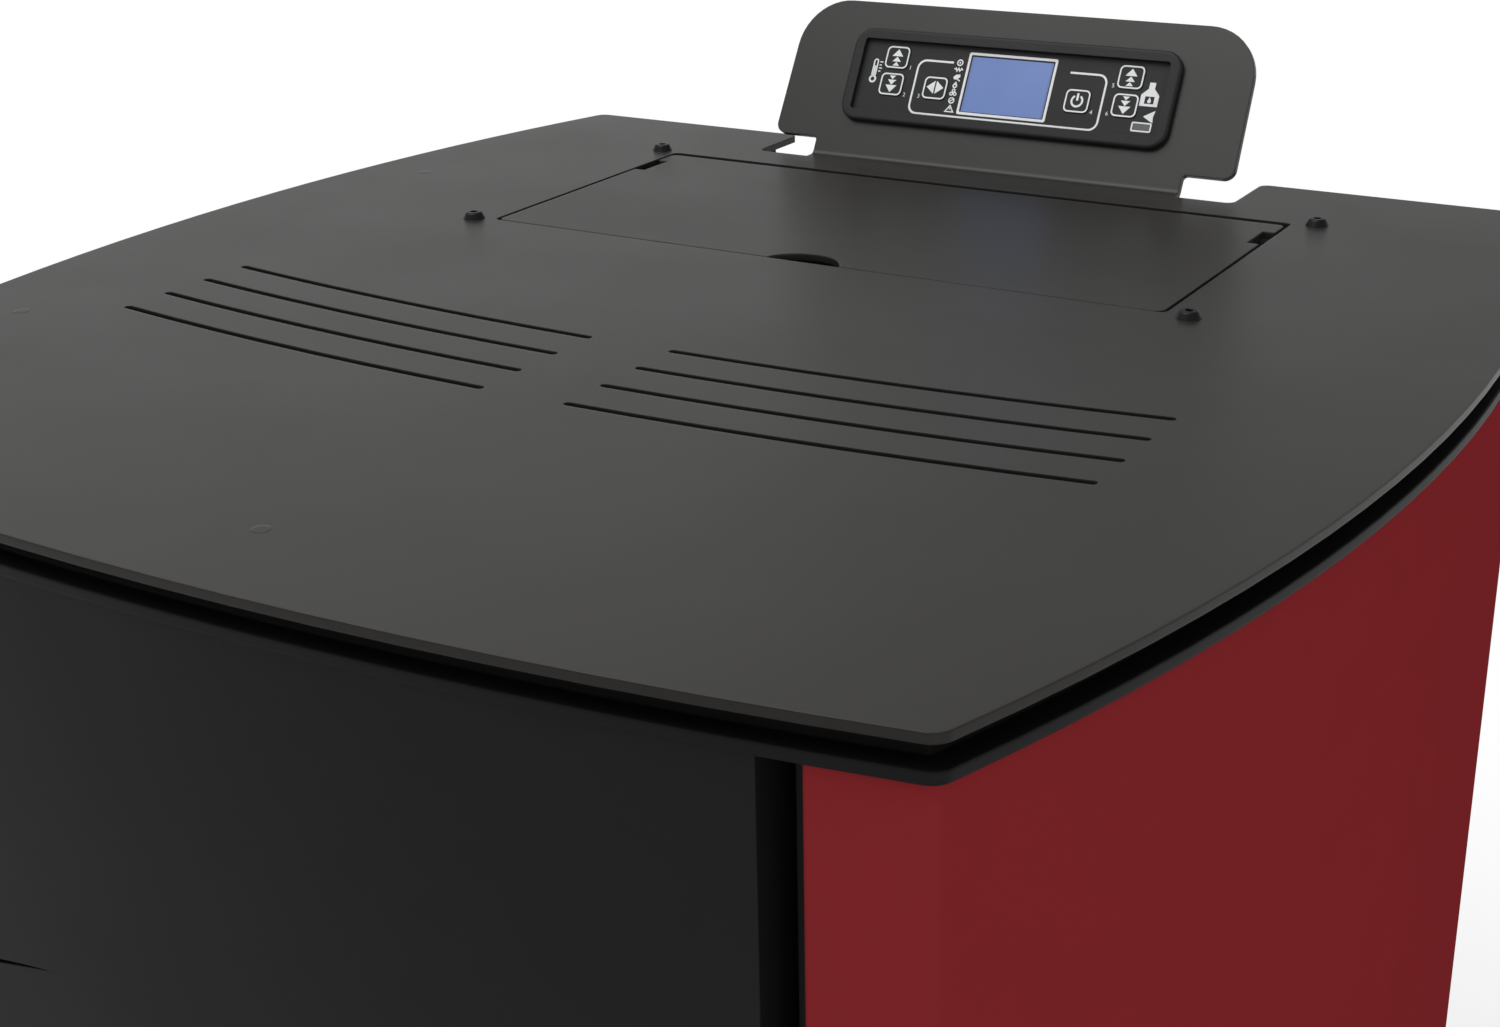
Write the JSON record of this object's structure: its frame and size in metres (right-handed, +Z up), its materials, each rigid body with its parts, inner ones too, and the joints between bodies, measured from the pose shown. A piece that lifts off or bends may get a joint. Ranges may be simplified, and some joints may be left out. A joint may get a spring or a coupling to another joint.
{
  "type": "pellet stove",
  "caption": "Free-standing pellet stove with bowed sides, a top plate with a hinged hopper lid and a leaning control panel, a glazed fire door, ash drawer and rear flue spigot.",
  "frame": {"origin": "centre of the bounding box in plan, on the floor under the feet", "axes": "+X to the stove's right seen from the front, +Y to its back, +Z up"},
  "size_m": [0.5424, 0.6046, 1.0862],
  "materials": {
    "dark_paint": "fine satin powder coat",
    "black_paint": "satin high-temperature paint",
    "red_paint": "smooth gloss paint",
    "galvanised": "galvanised sheet",
    "bright_steel": "bright zinc",
    "dark_steel": "blackened",
    "chrome_steel": "polished",
    "cast_alloy": "as cast",
    "cast_iron": "rough cast",
    "fire_board": "matte board",
    "fire_glass": "clear",
    "rope": "braided",
    "black_plastic": "fine grain",
    "panel_film": "satin film",
    "key_cap": "satin film",
    "screen": "smooth",
    "circuit": "satin",
    "grey_plastic": "fine grain",
    "rocker_plastic": "smooth"
  },
  "bodies": {
    "cabinet": {"top_plate": "dark_paint", "rim_plate": "dark_paint", "lid_hinges": "bright_steel", "cover_screws": "dark_steel", "display_bezel": "black_plastic", "display_film": "panel_film", "display_lcd": "screen", "display_board": "circuit", "display_cover": "black_plastic", "side_panel_left": "red_paint", "side_panel_right": "red_paint", "front_panel_upper": "black_paint", "front_panel_lower": "black_paint", "base_plate": "black_paint", "chassis_left": "galvanised", "chassis_right": "galvanised", "mid_deck": "galvanised", "rear_panel": "black_paint", "firebox": "black_paint", "firebox_lining": "fire_board", "baffle": "fire_board", "pot_holder": "black_paint", "door_hinges": "dark_steel", "hopper": "galvanised", "hopper_grid": "bright_steel", "auger_housing": "galvanised", "auger_gearmotor": "cast_alloy", "exhaust_housing": "cast_alloy", "exhaust_motor": "bright_steel", "flue_box": "black_paint", "air_intake": "galvanised", "igniter": "bright_steel", "room_fan_housing": "galvanised", "control_board": "grey_plastic", "mains_inlet": "black_plastic", "thermostat_body": "black_plastic"},
    "lid": {"hopper_lid": "dark_paint"},
    "door": {"door_frame": "black_paint", "door_inner_frame": "black_paint", "door_glass": "fire_glass", "door_gasket": "rope"},
    "handle": {"door_handle": "chrome_steel"},
    "drawer": {"ash_drawer": "galvanised", "drawer_front": "black_paint"},
    "pot": {"burn_pot": "cast_iron"},
    "auger": {"auger_screw": "bright_steel"},
    "exhaust_rotor": {"exhaust_impeller": "bright_steel"},
    "room_fan_rotor": {"room_fan_impeller": "cast_alloy"},
    "switch": {"rocker": "rocker_plastic"},
    "reset": {"thermostat_button": "black_plastic"},
    "front_left_foot": {"foot_front_left": "black_plastic"},
    "front_right_foot": {"foot_front_right": "black_plastic"},
    "rear_left_foot": {"foot_rear_left": "black_plastic"},
    "rear_right_foot": {"foot_rear_right": "black_plastic"},
    "button_1": {"key_1": "key_cap"},
    "button_2": {"key_2": "key_cap"},
    "button_3": {"key_3": "key_cap"},
    "button_4": {"key_4": "key_cap"},
    "button_5": {"key_5": "key_cap"},
    "button_6": {"key_6": "key_cap"}
  },
  "joints": [
    {"name": "lid_hinge", "type": "hinge", "parent": "cabinet", "child": "lid", "pos_m": [0, 0.1625, 1.008], "axis": [-1, 0, 0], "range_deg": [0, 95]},
    {"name": "door_hinge", "type": "hinge", "parent": "cabinet", "child": "door", "pos_m": [-0.185, -0.284, 0.594], "axis": [0, 0, -1], "range_deg": [0, 100]},
    {"name": "handle_tilt", "type": "hinge", "parent": "door", "child": "handle", "pos_m": [0.185, -0.2835, 0.53], "axis": [1, 0, 0], "range_deg": [0, 30]},
    {"name": "drawer_slide", "type": "slide", "parent": "cabinet", "child": "drawer", "axis": [0, -1, 0], "range_m": [0, 0.2]},
    {"name": "pot_lift", "type": "slide", "parent": "cabinet", "child": "pot", "axis": [0, 0, 1], "range_m": [0, 0.06]},
    {"name": "auger_spin", "type": "hinge", "parent": "cabinet", "child": "auger", "pos_m": [0, 0.175, 0.48], "axis": [0, -0.7071, 0.7071], "continuous": true},
    {"name": "exhaust_spin", "type": "hinge", "parent": "cabinet", "child": "exhaust_rotor", "pos_m": [-0.088, 0.025, 0.43], "axis": [0, 1, 0], "continuous": true},
    {"name": "room_fan_spin", "type": "hinge", "parent": "cabinet", "child": "room_fan_rotor", "pos_m": [0.11, 0.04, 0.094], "axis": [1, 0, 0], "continuous": true},
    {"name": "rocker_tip", "type": "hinge", "parent": "cabinet", "child": "switch", "pos_m": [0.15, 0.2415, 0.1305], "axis": [1, 0, 0], "range_deg": [0, 14]},
    {"name": "reset_press", "type": "slide", "parent": "cabinet", "child": "reset", "axis": [0, -1, 0], "range_m": [0, 0.002], "stiffness_N_per_m": 600},
    {"name": "key_1_press", "type": "slide", "parent": "cabinet", "child": "button_1", "axis": [0, 0.8712, -0.4909], "range_m": [0, 0.0004], "stiffness_N_per_m": 2500},
    {"name": "key_2_press", "type": "slide", "parent": "cabinet", "child": "button_2", "axis": [0, 0.8712, -0.4909], "range_m": [0, 0.0004], "stiffness_N_per_m": 2500},
    {"name": "key_3_press", "type": "slide", "parent": "cabinet", "child": "button_3", "axis": [0, 0.8712, -0.4909], "range_m": [0, 0.0004], "stiffness_N_per_m": 2500},
    {"name": "key_4_press", "type": "slide", "parent": "cabinet", "child": "button_4", "axis": [0, 0.8712, -0.4909], "range_m": [0, 0.0004], "stiffness_N_per_m": 2500},
    {"name": "key_5_press", "type": "slide", "parent": "cabinet", "child": "button_5", "axis": [0, 0.8712, -0.4909], "range_m": [0, 0.0004], "stiffness_N_per_m": 2500},
    {"name": "key_6_press", "type": "slide", "parent": "cabinet", "child": "button_6", "axis": [0, 0.8712, -0.4909], "range_m": [0, 0.0004], "stiffness_N_per_m": 2500},
    {"name": "front_left_foot_screw", "type": "slide", "parent": "cabinet", "child": "front_left_foot", "axis": [0, 0, -1], "range_m": [0, 0.012]},
    {"name": "front_right_foot_screw", "type": "slide", "parent": "cabinet", "child": "front_right_foot", "axis": [0, 0, -1], "range_m": [0, 0.012]},
    {"name": "rear_left_foot_screw", "type": "slide", "parent": "cabinet", "child": "rear_left_foot", "axis": [0, 0, -1], "range_m": [0, 0.012]},
    {"name": "rear_right_foot_screw", "type": "slide", "parent": "cabinet", "child": "rear_right_foot", "axis": [0, 0, -1], "range_m": [0, 0.012]}
  ]
}
